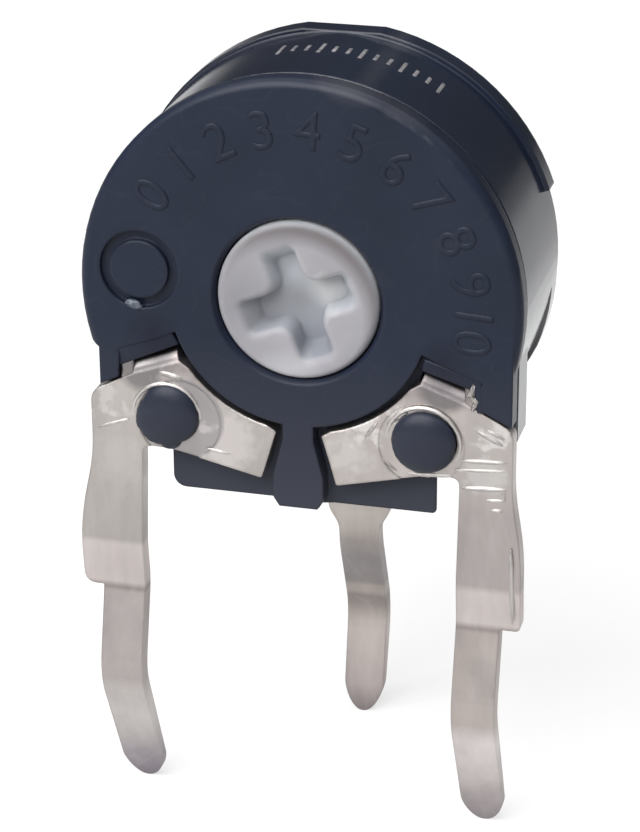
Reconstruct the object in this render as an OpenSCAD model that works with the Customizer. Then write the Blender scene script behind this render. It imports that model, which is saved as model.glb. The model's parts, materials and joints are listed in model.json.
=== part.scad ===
// Trimmer potentiometer, upright, with three crimped board legs and a cross-slotted rotor.
// Millimetres. X runs along the row of the two end legs, Y runs from the dial face to the back,
// Z runs up from the board. The origin is midway between the two end legs at the board's surface.
// Shapes are drawn as seen from the front, around the rotor's axis. "Depth" is counted backwards
// from the dial face, and "drop" is a distance below the axis.

/* [Body] */
// Height of the rotor's axis above the board
axis_height = 11.1; // [10.6:0.1:12.6]
// Diameter of the front plate
plate_d = 15; // [14.8:0.1:15.6]
// Thickness of the plate's rim, in front of the cup
rim_t = 0.8; // [0.75:0.05:1]
// Thickness of the plate inside the cup's wall
plate_t = 1.3; // [1.2:0.05:1.6]
// Clearance between the plate's step and the cup's wall
step_clear = 0.04; // [0.02:0.01:0.08]
// Width of the groove at the seam
groove_w = 0.25; // [0.1:0.05:0.4]
// Depth of the groove at the seam
groove_depth = 0.2; // [0.1:0.05:0.3]
// Rounding of the plate's and the cup's rims
rim_round = 0.33; // [0.1:0.01:0.4]
// How much smaller the cup's radius is than the plate's
cup_step = 0.05; // [0.02:0.01:0.12]
// Wall of the cup
cup_wall = 0.7; // [0.5:0.05:0.75]
// Depth of the whole body, plate and cup
body_depth = 6.9; // [6.8:0.1:8]
// Floor of the cup
cup_floor = 1.3; // [1.1:0.05:1.5]
// How far the left flank stands in from the plate's radius
flank_left_in = 0.61; // [0.5:0.01:0.7]
// How far the right flank stands in from the plate's radius
flank_right_in = 0.27; // [0.2:0.01:0.4]
// Height of the flanks' lower end over the bottom of the round
flank_up = 2.85; // [2.6:0.05:3]
// How far the cup's part of the flanks reaches behind the rim
flank_t = 1.7; // [1:0.1:2.5]
// Height over the bottom of the round at which the left flank starts
notch_up = 5.5; // [5.3:0.05:5.7]
// Slope of the body's shoulders, inwards and downwards
shoulder = 0.75; // [0.6:0.05:0.8]
// Width of the foot
foot_w = 9.2; // [8.6:0.1:9.6]
// Height of the foot's lower face over the bottom of the round
foot_up = 0.08; // [-0.2:0.02:0.14]
// How far the cup's part of the foot reaches behind the rim
foot_t = 1.2; // [0.6:0.1:1.6]
// How far the cup's part of the foot stands in from the plate's
foot_in = 0.4; // [0.2:0.05:0.8]
// Corner radius of the foot at the left
foot_left_round = 0.45; // [0.1:0.05:0.6]
// Corner radius of the foot at the right
foot_right_round = 0.15; // [0.1:0.05:0.6]

/* [Lip around the cup's back] */
// Height of the lip over the cup's wall
lip_h = 0.18; // [0.1:0.01:0.3]
// Width of the lip
lip_w = 0.85; // [0.5:0.05:1.2]
// How far the lip stands in from the cup's back
lip_in = 0.15; // [0.05:0.05:0.3]
// How far the flat on the lip's top is cut into it
lip_flat = 0.12; // [0.05:0.01:0.16]
// Angle from the top to the gap in the lip at either side
lip_gap_from = 71; // [60:1:80]
// Radius of the lip's lower part, which swells out of the wall below the axis
lip_low_r = 7.4; // [7.2:0.05:7.4]

/* [Relief of the dial face] */
// Gap between the hub ring and the terminals beside it
hub_gap = 0.25; // [0.15:0.01:0.3]
// Half width of the rib between the terminals, at its top
rib_top = 0.52; // [0.4:0.02:0.6]
// Half width of the rib at its foot
rib_foot = 0.86; // [0.8:0.02:1]
// Height over the bottom of the round at which the rib is widest
rib_foot_up = 1.2; // [1:0.05:1.4]
// Length over which the rib widens
rib_taper = 1.35; // [1:0.05:1.6]
// How far the moulding mark's middle stands in from the plate's radius
mark_in = 2.1; // [1.9:0.05:2.5]
// Height of the moulding mark over the axis
mark_z = 0.65; // [0.4:0.05:0.9]
// Outer radius of the moulding mark
mark_r = 1.36; // [1.1:0.02:1.5]
// Radius of the button inside the mark
mark_button_r = 1; // [0.7:0.02:1.05]
// Depth of the mark's groove
mark_depth = 0.24; // [0.1:0.02:0.4]

/* [Rotor] */
// Diameter of the rotor where it shows
rotor_d = 5.48; // [5.2:0.02:5.6]
// Radial running clearance around the rotor
rotor_clear = 0.06; // [0.03:0.01:0.09]
// Rounding of the rotor's front edge
rotor_round = 0.25; // [0.1:0.01:0.35]
// Chamfer around the rotor's hole
hole_chamfer = 0.14; // [0.05:0.01:0.2]
// Width of the cross slot
slot_w = 1.15; // [0.9:0.05:1.3]
// Length of the cross slot at its mouth
slot_l = 3.96; // [3.4:0.02:4.2]
// Length of the cross slot at its floor
slot_floor_l = 2.9; // [2.4:0.05:3.2]
// Depth of the cross slot
slot_depth = 1.1; // [0.7:0.05:1.6]
// Radius of the hollow where the slot's arms meet
slot_hollow_r = 0.95; // [0.85:0.01:1]
// Slot angle at rest, anticlockwise from upright
rest_turn = 21; // [0:1:45]
// Whole travel between the stops
travel = 265; // [240:1:280]
// Room between the rotor's flange and the element's board
contact_room = 1.03; // [0.9:0.01:1.2]
// Half angle of the rotor's stop lug
lug_half = 12; // [8:1:15]
// Radius of the rotor's tail pin
tail_r = 0.8; // [0.6:0.05:0.9]

/* [Contact spring] */
// Thickness of the contact spring
contact_t = 0.2; // [0.15:0.01:0.22]
// Inner radius of the spring's ring
contact_in_r = 1.9; // [1.7:0.05:2]
// Outer radius of the spring's ring
contact_out_r = 3; // [2.9:0.05:3.1]
// Radius of the rivets that hold the spring
rivet_r = 0.35; // [0.25:0.01:0.4]
// Radius of the circle that the rivets stand on
rivet_ring_r = 2.45; // [2.4:0.01:2.5]
// Width of the inner fingers
inner_finger_w = 0.8; // [0.5:0.05:0.9]

/* [Terminals] */
// Thickness of the terminal sheet
sheet_t = 0.6; // [0.5:0.02:0.62]
// Distance between the two end legs
pin_pitch = 12.5; // [12.4:0.05:12.7]
// Distance from the row of end legs back to the wiper leg
row_gap = 7.5; // [7.5:0.02:7.7]
// Width of a leg below the board's surface
pin_w = 1.5; // [1.2:0.05:1.6]
// Width of an end leg above the board's surface
leg_w = 2.2; // [2:0.05:2.3]
// Length of the legs below the board's surface
pin_l = 8.62; // [4:0.1:9]
// Length of the rounded leg end
nose_l = 1.15; // [0.8:0.05:1.4]
// How far an end leg's middle is crimped forwards
crimp = 0.35; // [0.1:0.05:0.45]
// Softness of the left leg's shoulder
left_shoulder = 0.45; // [0.1:0.05:0.6]
// Softness of the right leg's shoulder
right_shoulder = 0.18; // [0.1:0.02:0.6]
// Length of the tab's upper edge
tab_w = 1.88; // [1.8:0.02:1.9]
// Slope of the tab's upper edge
tab_slope = 20; // [18:1:22]
// Height of the tab's outer corner over the bottom of the round
tab_up = 4.82; // [4.7:0.02:4.9]
// How far the ear's outer edge stands in from the plate's radius
ear_in = 0.22; // [0.15:0.01:0.26]
// Height of the ear's top over the bottom of the round
ear_up = 3.58; // [3.45:0.02:3.7]
// Width of the fold that carries each end terminal inwards
fold_w = 1.78; // [1.2:0.02:1.78]
// How far the arms' inner edge stands in from the plate's radius
arm_in = 2.81; // [2.75:0.01:2.86]
// Sideways place of an arm's inner end
arm_x = 0.89; // [0.8:0.01:1]
// Height of an arm's lower corner over the bottom of the round
arm_up = 1.02; // [0.9:0.02:1.1]
// Height of the arm's lower edge beside the leg, over the bottom of the round
crotch_up = 1.74; // [1.7:0.02:1.8]
// Radius of the press mark around a peg
press_r = 1.46; // [1.3:0.02:1.6]
// Depth of the press mark
press_depth = 0.04; // [0.01:0.01:0.08]
// Sideways place of the wiper leg
wiper_x = 0.2; // [0:0.05:0.3]
// Width of the wiper terminal's strip
wiper_strip_w = 2.3; // [2:0.05:2.4]
// Radius of the wiper terminal's disc
wiper_disc_r = 3; // [2.8:0.05:3.2]
// Radius of the dish drawn in the disc
dish_r = 2.12; // [2.05:0.01:2.2]

/* [Pegs] */
// How far the pegs' circle stands in from the plate's radius
peg_in = 1.13; // [1.1:0.01:1.2]
// Angle of the pegs from straight down
peg_angle = 44.3; // [43.8:0.1:44.8]
// Radius of a peg
peg_r = 0.9; // [0.85:0.01:0.95]
// Radial clearance of a peg in its holes
peg_clear = 0.05; // [0.03:0.01:0.09]
// Radius of a staked peg head
peg_head_r = 1.08; // [1.05:0.01:1.12]
// Height of a staked peg head
peg_head_h = 0.32; // [0.2:0.01:0.4]
// Radius of the boss that carries a peg inside the cup
boss_r = 1.3; // [1.2:0.02:1.35]

/* [Resistive element] */
// Thickness of the element's board
board_t = 0.6; // [0.4:0.05:0.8]
// Width of the carbon track
track_w = 1.2; // [1:0.05:1.25]
// Thickness of the printed layers
print_t = 0.06; // [0.04:0.01:0.08]
// Angle from the top to either end of the carbon track
track_half = 122; // [115:1:125]
// Angle that a silver pad covers beyond the track's end
pad_span = 12; // [8:1:14]
// Room around what a silver pad joins
pad_room = 0.1; // [0.05:0.01:0.12]
// How far a pad's tongue reaches outwards beside the fold
pad_reach = 0.37; // [0.2:0.01:0.4]
// Radius of the hole in the element's board
board_hole_r = 2.3; // [2.25:0.01:2.4]

/* [Hidden] */
$fn = 96;
cut = 1;
seat = 0.02;
plate_r = plate_d / 2;
cup_r = plate_r - cup_step;
cup_in_r = cup_r - cup_wall;
lip_r = cup_r + lip_h;
lip_back = body_depth - lip_in;
rotor_r = rotor_d / 2;
hole_r = rotor_r + rotor_clear;
plug_r = cup_in_r - step_clear;
wall_front = rim_t + groove_w;
peg_x = (plate_r - peg_in) * sin(peg_angle);
peg_drop = (plate_r - peg_in) * cos(peg_angle);
mark_x = plate_r - mark_in;
arm_r = plate_r - arm_in;
arm_drop = plate_r - arm_up;
crotch_drop = plate_r - crotch_up;
tab_drop = plate_r - tab_up;
ear_drop = plate_r - ear_up;
flank_drop = plate_r - flank_up;
notch_drop = plate_r - notch_up;
foot_drop = plate_r - foot_up;
rib_foot_drop = plate_r - rib_foot_up;
rib_drop = rib_foot_drop - rib_taper;
face_gap = 0.1;
face_y = -sheet_t / 2 - face_gap;
sheet_front = face_gap;
sheet_mid = sheet_front + sheet_t / 2;
sheet_back = sheet_front + sheet_t;
floor_depth = body_depth - cup_floor;
board_back = floor_depth - seat;
board_front = board_back - board_t;
print_front = board_front - print_t;
flange_front = plate_t + 1.45;
flange_back = board_front - contact_room;
flange_t = flange_back - flange_front;
contact_back = flange_back + contact_t;
lug_front = plate_t + 0.15;
stop_back = flange_front - 0.25;
stop_in_r = 3;
flank_left = plate_r - flank_left_in;
flank_right = plate_r - flank_right_in;
shoulder_drop = flank_drop + shoulder + 0.05;
board_z = -axis_height;
tip_z = board_z - pin_l;
pin_x = pin_pitch / 2;
pin_in = pin_x - pin_w / 2;
ear_x = plate_r - ear_in;
leg_out = pin_in + leg_w;
tab_room = 0.11;
tab_out_x = sqrt(pow(cup_in_r - tab_room, 2) - pow(tab_drop, 2));
tab_out = [tab_out_x, -tab_drop];
tab_in = tab_out + tab_w * [-cos(tab_slope), sin(tab_slope)];
tab_mid = (tab_in + tab_out) / 2;
notch = tab_out + [0.09, -0.66];
hub_r = arm_r - hub_gap;
flange_r = arm_r - 0.28;
lug_r = flange_r - 0.1;
stop_half = 180 - travel / 2 - lug_half - 1;
fold_shift = -0.04;
fold_gap = 0.1;
fold_bend = 0.5;
fold_foot = 0.35;
fold_back = print_front - seat;
track_in_r = flange_r - track_w;
finger_in_r = flange_r - 1.1;
finger_out_r = flange_r - 0.2;
boss_clear = 0.1;
dish_front = board_front + seat;
wiper_front = floor_depth + seat;
wiper_back = wiper_front + sheet_t;
wiper_mid = (wiper_front + wiper_back) / 2;
wiper_leg_depth = sheet_mid + row_gap;

// Places a flat shape drawn around the rotor's axis, from one depth to the next.
module slab(from, to) {
    translate([0, face_y + to, axis_height])
        rotate([90, 0, 0])
            linear_extrude(height = to - from)
                children();
}

// Turns a profile about the rotor's axis; its Y is minus the depth.
module turned() {
    translate([0, face_y, axis_height])
        rotate([90, 0, 0])
            rotate_extrude()
                children();
}

// Turns a piece about the rotor's axis, anticlockwise as seen from the front.
module spun(angle) {
    translate([0, 0, axis_height])
        rotate([0, -angle, 0])
            translate([0, 0, -axis_height])
                children();
}

// A ring around the rotor's axis.
module ring(from, to, r_in, r_out) {
    difference() {
        slab(from, to) circle(r = r_out);
        slab(from - cut, to + cut) circle(r = r_in);
    }
}

// Part of a ring, between two angles counted anticlockwise from the top.
module arc(from, to, r_in, r_out, a0, a1) {
    steps = 8;
    fan = [for (i = [0:steps]) let (a = 90 + a0 + (a1 - a0) * i / steps) [cos(a), sin(a)]];
    intersection() {
        ring(from, to, r_in, r_out);
        slab(from - cut, to + cut) polygon(concat([[0, 0]], fan * r_out * 2));
    }
}

// Repeats a flat shape on the left-hand side.
module both_sides() {
    children();
    mirror([1, 0]) children();
}

function unit(v) = v / norm(v);
function flat(p) = [p[0], p[1]];

// Points of a soft corner at b, between a and c: it starts and ends a reach away from b.
function bend(a, b, c, reach, steps) =
    let (p = b + unit(a - b) * reach, q = b + unit(c - b) * reach)
    [for (i = [0:steps]) let (s = i / steps) p * pow(1 - s, 2) + b * 2 * s * (1 - s) + q * pow(s, 2)];

// Closed outline whose corners are [across, up, reach]; a reach of 0 leaves a corner sharp.
function softened(c) = let (n = len(c))
    [for (i = [0:n - 1])
        each (c[i][2] == 0 ? [flat(c[i])]
            : bend(flat(c[(i + n - 1) % n]), flat(c[i]), flat(c[(i + 1) % n]), c[i][2], 5))];

// Outline of a bent strip. Its stations are [across, along, thickness, reach of the bend].
function station(p, way, t) = [p, way, t];
function turn(a, b, c) = let (line = bend(flat(a), flat(b), flat(c), b[3], 6))
    [for (i = [0:6]) let (s = i / 6)
        station(line[i], unit(unit(flat(b) - flat(a)) * (1 - s) + unit(flat(c) - flat(b)) * s), b[2])];
function run(st) = let (n = len(st) - 1)
    concat([station(flat(st[0]), unit(flat(st[1]) - flat(st[0])), st[0][2])],
        [for (i = [1:n - 1]) each turn(st[i - 1], st[i], st[i + 1])],
        [station(flat(st[n]), unit(flat(st[n]) - flat(st[n - 1])), st[n][2])]);
function edge(line, way) = [for (q = line) q[0] + [-q[1][1], q[1][0]] * way * q[2] / 2];
function strip(st) = let (line = run(st), n = len(line) - 1, far = edge(line, -1))
    concat(edge(line, 1), [for (i = [0:n]) far[n - i]]);

// A sheet bent in depth while it runs up and down, from x0 to x1.
module bent_sheet(st, x0, x1) {
    translate([x0, face_y, axis_height])
        rotate([90, 0, 90])
            linear_extrude(height = x1 - x0)
                polygon(strip(st));
}

// Half of the foot, from the middle out, with its rounded corner.
module foot_half(corner, inset) {
    half = foot_w / 2 - inset;
    translate([-cut, corner - foot_drop])
        square([half + cut, foot_drop - corner - shoulder_drop + cut]);
    translate([-cut, -foot_drop]) square([half - corner + cut, 2 * corner]);
    translate([half - corner, corner - foot_drop]) circle(r = corner);
}

module foot_outline(inset) {
    foot_half(foot_right_round, inset);
    mirror([1, 0]) foot_half(foot_left_round, inset);
}

// Straight flanks and sloped shoulders below the round.
module flank_outline(inset) {
    left = flank_left - inset;
    right = flank_right - inset;
    polygon([[-left, 0], [-left, -flank_drop], [shoulder - left, -shoulder_drop],
        [right - shoulder, -shoulder_drop], [right, -flank_drop], [right, 0]]);
}

// What the left flank leaves off the round: its edge slopes in below the notch.
module flank_notch() {
    polygon([[-plate_d, -notch_drop], [-flank_left - 0.35, -notch_drop], [-flank_left, -notch_drop - 0.25],
        [-flank_left, -plate_d], [-plate_d, -plate_d]]);
}

// Right half of the rib that parts the two terminals.
module rib_outline() {
    chamfer = 0.2;
    polygon([[-cut, 0], [rib_top, 0], [rib_top, -rib_drop], [rib_foot, -rib_foot_drop],
        [rib_foot, chamfer + 0.1 - foot_drop], [rib_foot - chamfer, -foot_drop],
        [rib_foot - chamfer, -plate_d], [-cut, -plate_d]]);
}

// Pocket for the right-hand terminal, open at the side and below.
module pocket_outline() {
    difference() {
        polygon([[0, 0], tab_in + [-0.08, 0.58], tab_out + [0.11, 0.26], notch + [0.08, 0.08],
            [ear_x, 0.15 - ear_drop], [plate_d, 0.15 - ear_drop], [plate_d, -plate_d], [0, -plate_d]]);
        circle(r = hub_r);
        rib_outline();
    }
}

// Places a shape at the right-hand terminal's fold, X along the fold and Y away from the tab.
module at_fold() {
    translate(tab_mid) rotate(-tab_slope) translate([fold_shift, 0]) children();
}

// Footprint of the fold and its foot, with room around it.
module fold_print(room) {
    at_fold()
        translate([-fold_w / 2 - room, -sheet_t - room])
            square([fold_w + 2 * room, sheet_t + fold_foot + 2 * room]);
}

// Hole for a peg, in the plate and in the terminal over it.
module peg_hole() {
    translate([peg_x, -peg_drop]) circle(r = peg_r + peg_clear);
}

module front_plate() {
    color("#2f3340")
    difference() {
        union() {
            difference() {
                turned() {
                    translate([0, -rim_t]) square([plate_r, rim_t - rim_round]);
                    translate([0, -rim_t]) square([plate_r - rim_round, rim_t]);
                    translate([plate_r - rim_round, -rim_round]) circle(r = rim_round);
                }
                slab(-cut, rim_t + cut) flank_notch();
            }
            slab(0, rim_t) {
                flank_outline(0);
                foot_outline(0);
            }
            slab(rim_t - seat, plate_t) circle(r = plug_r);
            arc(plate_t - seat, stop_back, stop_in_r, flange_r + 0.1, 180 - stop_half, 180 + stop_half);
        }
        slab(-cut, sheet_back) both_sides() pocket_outline();
        slab(0, plate_t + cut) both_sides() fold_print(fold_gap);
        slab(-cut, plate_t + cut) both_sides() peg_hole();
        slab(-cut, plate_t + cut) circle(r = hole_r);
        turned() polygon([[0, cut], [hole_r + hole_chamfer, cut], [hole_r + hole_chamfer, 0],
            [hole_r, -1.5 * hole_chamfer], [0, -1.5 * hole_chamfer]]);
        difference() {
            slab(-cut, mark_depth) translate([-mark_x, mark_z]) circle(r = mark_r);
            slab(-2 * cut, mark_depth + cut) translate([-mark_x, mark_z]) circle(r = mark_button_r);
        }
    }
}

// One peg; each head on it is a shallow dome at [across, up, radius].
module peg(x, heads) {
    front = sheet_front - seat;
    slab(front, plate_t + cut) translate([x, -peg_drop]) circle(r = peg_r);
    for (head = heads)
        translate([x + head[0], face_y + front, axis_height - peg_drop + head[1]])
            rotate([90, 0, 0])
                dome(head[2], peg_head_h * head[2] / peg_head_r);
}

module dome(r, h) {
    ball_r = (r * r + h * h) / (2 * h);
    rotate_extrude()
        intersection() {
            translate([0, h - ball_r]) circle(r = ball_r);
            square([r, h]);
        }
}

// The raised lip: cut flat at its top, broken at both sides, and swelling out again below.
module lip() {
    front = lip_back - lip_w;
    difference() {
        arc(front, lip_back, cup_r - cup_wall / 2, lip_r, -lip_gap_from, lip_gap_from);
        slab(front - cut, lip_back + cut)
            translate([-plate_r, lip_r - lip_flat]) square([plate_d, cut]);
    }
    slab(front, lip_back)
        difference() {
            intersection() {
                circle(r = lip_r);
                translate([0, -0.6]) circle(r = lip_low_r);
            }
            circle(r = cup_r - cup_wall / 2);
        }
}

// Where the wiper terminal lies in the cup's floor.
module wiper_bed() {
    side = 0.1;
    circle(r = wiper_disc_r + side);
    translate([wiper_x - wiper_strip_w / 2 - side, -plate_d])
        square([wiper_strip_w + 2 * side, plate_d]);
}

module rear_cup() {
    color("#2c3039")
    difference() {
        union() {
            turned() {
                translate([0, rim_round - body_depth])
                    square([cup_r, body_depth - wall_front - rim_round]);
                translate([0, -body_depth]) square([cup_r - rim_round, 2 * rim_round]);
                translate([cup_r - rim_round, rim_round - body_depth]) circle(r = rim_round);
            }
            slab(rim_t, wall_front + seat) {
                circle(r = cup_r - groove_depth);
                flank_outline(groove_depth);
            }
            slab(wall_front, rim_t + flank_t) flank_outline(0);
            slab(rim_t, rim_t + foot_t) foot_outline(foot_in);
            lip();
        }
        slab(-cut, plate_t) circle(r = cup_in_r);
        difference() {
            slab(plate_t - seat, floor_depth) circle(r = cup_in_r);
            slab(0, floor_depth + cut)
                both_sides() translate([peg_x, -peg_drop]) circle(r = boss_r);
        }
        slab(floor_depth - seat, wiper_back + seat) wiper_bed();
    }
    color("#2c3039") {
        peg(-peg_x, [[-0.07, 0.2, 0.94], [-0.28, -0.14, 0.95]]);
        peg(peg_x, [[-0.17, -0.04, peg_head_r]]);
    }
}

// Rounded leg end, around the leg's middle.
module nose(x) {
    steps = 16;
    polygon([for (i = [0:steps]) let (a = 180 * i / steps)
        [x - pin_w / 2 * cos(a), tip_z + nose_l * (1 - pow(sin(a), 1.3))]]);
}

// The right-hand terminal: an arm, a tab and a hole for the peg, and its leg.
module end_outline(shoulder_reach) {
    fold_side = [-sin(tab_slope), -cos(tab_slope)] * 0.55;
    difference() {
        union() {
            polygon(softened([
                [arm_x - 0.1, cut - crotch_drop, 0], [arm_x + 0.41, -arm_drop, 0.1],
                [pin_in - 0.95, -crotch_drop, 0.6], [pin_in, -crotch_drop, 0.3],
                [pin_in, tip_z + nose_l, 0], [pin_in + pin_w, tip_z + nose_l, 0],
                [pin_in + pin_w, board_z, 0.06], [leg_out, board_z, shoulder_reach],
                [leg_out, board_z + 2.7, 1], [ear_x, board_z + 4.8, 0.8], [ear_x, -ear_drop, 0.36],
                concat(notch, [0.15]), concat(tab_out + fold_side, [0]),
                concat(tab_in + fold_side, [0])]));
            translate([0, seat]) nose(pin_x);
            nose(pin_x);
        }
        circle(r = arm_r);
        peg_hole();
    }
}

// The strip that folds in at the tab's top and ends in a foot on the silver pad.
module fold() {
    mid = -sheet_t / 2;
    foot_mid = fold_back - sheet_t / 2;
    translate([tab_mid[0], face_y, axis_height + tab_mid[1]])
        rotate([0, tab_slope, 0])
            translate([fold_shift, 0, 0])
                rotate([0, -90, 0])
                    linear_extrude(height = fold_w, center = true)
                        polygon(strip([[-cut, sheet_mid, sheet_t, 0], [mid, sheet_mid, sheet_t, fold_bend],
                            [mid, foot_mid, sheet_t, fold_bend], [fold_foot, foot_mid, sheet_t, 0]]));
}

module end_terminal(shoulder_reach) {
    difference() {
        intersection() {
            bent_sheet([[sheet_mid, -1.5, sheet_t, 0],
                [sheet_mid, board_z + 5, sheet_t, 0.8],
                [sheet_mid - crimp, board_z + 1.6, sheet_t, 0.5],
                [sheet_mid - crimp + 0.2, board_z + 0.1, sheet_t, 0.5],
                [sheet_mid - 0.95, board_z - 3.2, sheet_t, 0.8],
                [sheet_mid + 1.6, tip_z - 0.1, sheet_t / 2, 0]], 0, plate_d);
            slab(-4, 6) end_outline(shoulder_reach);
        }
        slab(-cut, sheet_front + press_depth)
            translate([peg_x - 0.26, -peg_drop - 0.15]) circle(r = press_r);
    }
    fold();
}

module terminal_right() {
    color("#b9b3ae") end_terminal(right_shoulder);
}

module terminal_left() {
    color("#b9b3ae") mirror([1, 0, 0]) end_terminal(left_shoulder);
}

// The wiper's terminal: a disc with a drawn dish at its middle, a strip, and its leg.
module wiper_outline() {
    half = wiper_strip_w / 2;
    pin = pin_w / 2;
    circle(r = wiper_disc_r);
    polygon(softened([[wiper_x - half, 0, 0], [wiper_x - half, board_z + 0.1, 0.25],
        [wiper_x - pin, board_z - 0.55, 0.25], [wiper_x - pin, tip_z + nose_l, 0],
        [wiper_x + pin, tip_z + nose_l, 0], [wiper_x + pin, board_z - 0.55, 0.25],
        [wiper_x + half, board_z + 0.1, 0.25], [wiper_x + half, 0, 0]]));
    translate([0, seat]) nose(wiper_x);
    nose(wiper_x);
}

module wiper_terminal() {
    color("#aca6a1")
    difference() {
        union() {
            intersection() {
                bent_sheet([[wiper_mid, wiper_disc_r + cut, sheet_t, 0],
                    [wiper_mid, -cup_r - 0.32, sheet_t, 0.5],
                    [wiper_leg_depth, board_z + 0.7, sheet_t, 0.5],
                    [wiper_leg_depth + 0.05, board_z - 1.2, sheet_t, 0.6],
                    [wiper_leg_depth + 1.5, board_z - 4.6, sheet_t, 1],
                    [wiper_leg_depth + 0.5, tip_z - 0.1, sheet_t / 2, 0]], -4, 4);
                slab(3, 12) wiper_outline();
            }
            slab(dish_front, wiper_mid) circle(r = dish_r);
        }
        slab(dish_front + sheet_t, wiper_back + cut) circle(r = dish_r - sheet_t);
        slab(dish_front - cut, wiper_back + cut) circle(r = tail_r + rotor_clear);
    }
}

// One arm of the cross slot, with sloped ends.
module slot_arm() {
    mouth = slot_l / 2;
    base = slot_floor_l / 2;
    translate([0, face_y, axis_height - slot_w / 2])
        linear_extrude(height = slot_w)
            polygon([[-mouth, -cut], [mouth, -cut], [mouth, 0], [base, slot_depth], [-base, slot_depth],
                [-mouth, 0]]);
}

// The rivets' places; they are turned the same way on the rotor and on its spring.
module at_rivets() {
    for (a = [-30, 150]) spun(a) children();
}

module rotor() {
    tail_end = dish_front + 0.9;
    color("#b5b2b4")
    spun(rest_turn) {
        difference() {
            union() {
                turned() {
                    translate([0, -flange_front]) square([rotor_r, flange_front - rotor_round]);
                    translate([0, -flange_front]) square([rotor_r - rotor_round, flange_front]);
                    translate([rotor_r - rotor_round, -rotor_round]) circle(r = rotor_round);
                    translate([0, -flange_back]) square([flange_r, flange_t]);
                    translate([0, -tail_end]) square([tail_r, tail_end - flange_back]);
                }
                arc(lug_front, flange_front + seat, rotor_r - rotor_round, lug_r, -lug_half, lug_half);
            }
            slot_arm();
            spun(90) slot_arm();
            turned() polygon([[0, cut], [slot_hollow_r, cut], [slot_hollow_r, 0],
                [0.65 * slot_hollow_r, -slot_depth], [0, -slot_depth]]);
        }
        at_rivets() {
            slab(flange_back - cut / 2, contact_back + 0.1)
                translate([0, rivet_ring_r]) circle(r = rivet_r);
            slab(contact_back + seat, contact_back + 0.22)
                translate([0, rivet_ring_r]) circle(r = rivet_r + 0.15);
        }
    }
}

// A contact finger: its root lies on the rotor, and its bend touches at the given depth.
module finger(x0, x1, touch, z0, z1) {
    root = flange_back + contact_t / 2;
    way = sign(x1 - x0);
    tip = touch - seat - contact_t / 2;
    translate([0, face_y, axis_height + z0])
        linear_extrude(height = z1 - z0)
            polygon(strip([[x0 - 0.4 * way, root, contact_t, 0], [x0, root, contact_t, 0.25],
                [x1, tip, contact_t, 0.2], [x1 + 0.35 * way, tip - 0.22, contact_t, 0]]));
}

module wiper_contact() {
    reach = 1.95;
    color("#c9c2b2")
    spun(rest_turn) {
        difference() {
            ring(flange_back, contact_back, contact_in_r, contact_out_r);
            at_rivets()
                slab(flange_back - cut, contact_back + cut)
                    translate([0, rivet_ring_r]) circle(r = rivet_r + seat);
        }
        arc(flange_back, contact_back, contact_out_r - 0.1, finger_out_r, 48, 68);
        intersection() {
            spun(27) finger(-1.5, 1.3, print_front, contact_in_r, plate_r);
            ring(0, body_depth, finger_in_r, finger_out_r);
        }
        for (a = [180, 360]) spun(a)
            finger(reach, reach - 0.5, dish_front, -inner_finger_w / 2, inner_finger_w / 2);
    }
}

module track_board() {
    color("#6e4a2c")
    difference() {
        slab(board_front, board_back) circle(r = cup_in_r - 0.08);
        slab(board_front - cut, board_back + cut) {
            circle(r = board_hole_r);
            both_sides() translate([peg_x, -peg_drop]) circle(r = boss_r + boss_clear);
        }
    }
}

module carbon_track() {
    color("#1d1d1f")
    arc(print_front, board_front, track_in_r, flange_r, -track_half, track_half);
}

// Silver pad under the right-hand terminal's foot, joined to the end of the track.
module end_pad() {
    arc(print_front, board_front, track_in_r - pad_room, flange_r + pad_room,
        -track_half - pad_span, -track_half);
    arc(print_front, board_front, flange_r + pad_room / 2, arm_r + pad_reach,
        -track_half - pad_span / 3, pad_span - track_half);
    slab(print_front, board_front) fold_print(pad_room);
}

module pad_right() {
    color("#c4c4c6") end_pad();
}

module pad_left() {
    color("#c4c4c6") mirror([1, 0, 0]) end_pad();
}

front_plate();
rear_cup();
rotor();
wiper_contact();
track_board();
carbon_track();
pad_left();
pad_right();
wiper_terminal();
terminal_left();
terminal_right();
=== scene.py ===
import bmesh
import bpy
import json
import math
from mathutils import Matrix, Vector

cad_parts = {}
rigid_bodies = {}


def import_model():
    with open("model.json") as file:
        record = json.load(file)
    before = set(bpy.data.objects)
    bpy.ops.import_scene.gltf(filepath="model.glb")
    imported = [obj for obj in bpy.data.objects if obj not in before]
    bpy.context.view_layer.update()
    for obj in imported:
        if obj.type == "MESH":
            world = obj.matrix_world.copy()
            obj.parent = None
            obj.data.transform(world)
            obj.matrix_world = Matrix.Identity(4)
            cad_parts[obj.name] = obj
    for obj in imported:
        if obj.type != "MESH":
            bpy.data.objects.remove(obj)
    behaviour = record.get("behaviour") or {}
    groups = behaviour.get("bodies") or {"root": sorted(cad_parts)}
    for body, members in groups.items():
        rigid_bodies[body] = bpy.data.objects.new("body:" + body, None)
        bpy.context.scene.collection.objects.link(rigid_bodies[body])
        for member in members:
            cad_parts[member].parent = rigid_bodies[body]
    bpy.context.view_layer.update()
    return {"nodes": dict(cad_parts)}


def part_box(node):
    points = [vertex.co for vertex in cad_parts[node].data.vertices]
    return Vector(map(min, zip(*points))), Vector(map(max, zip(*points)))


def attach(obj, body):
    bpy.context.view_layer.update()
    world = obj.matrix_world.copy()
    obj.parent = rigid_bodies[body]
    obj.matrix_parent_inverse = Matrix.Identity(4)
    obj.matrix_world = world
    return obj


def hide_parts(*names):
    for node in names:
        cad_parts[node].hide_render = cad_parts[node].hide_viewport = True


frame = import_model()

mm = 0.001
nodes = frame["nodes"]

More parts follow.
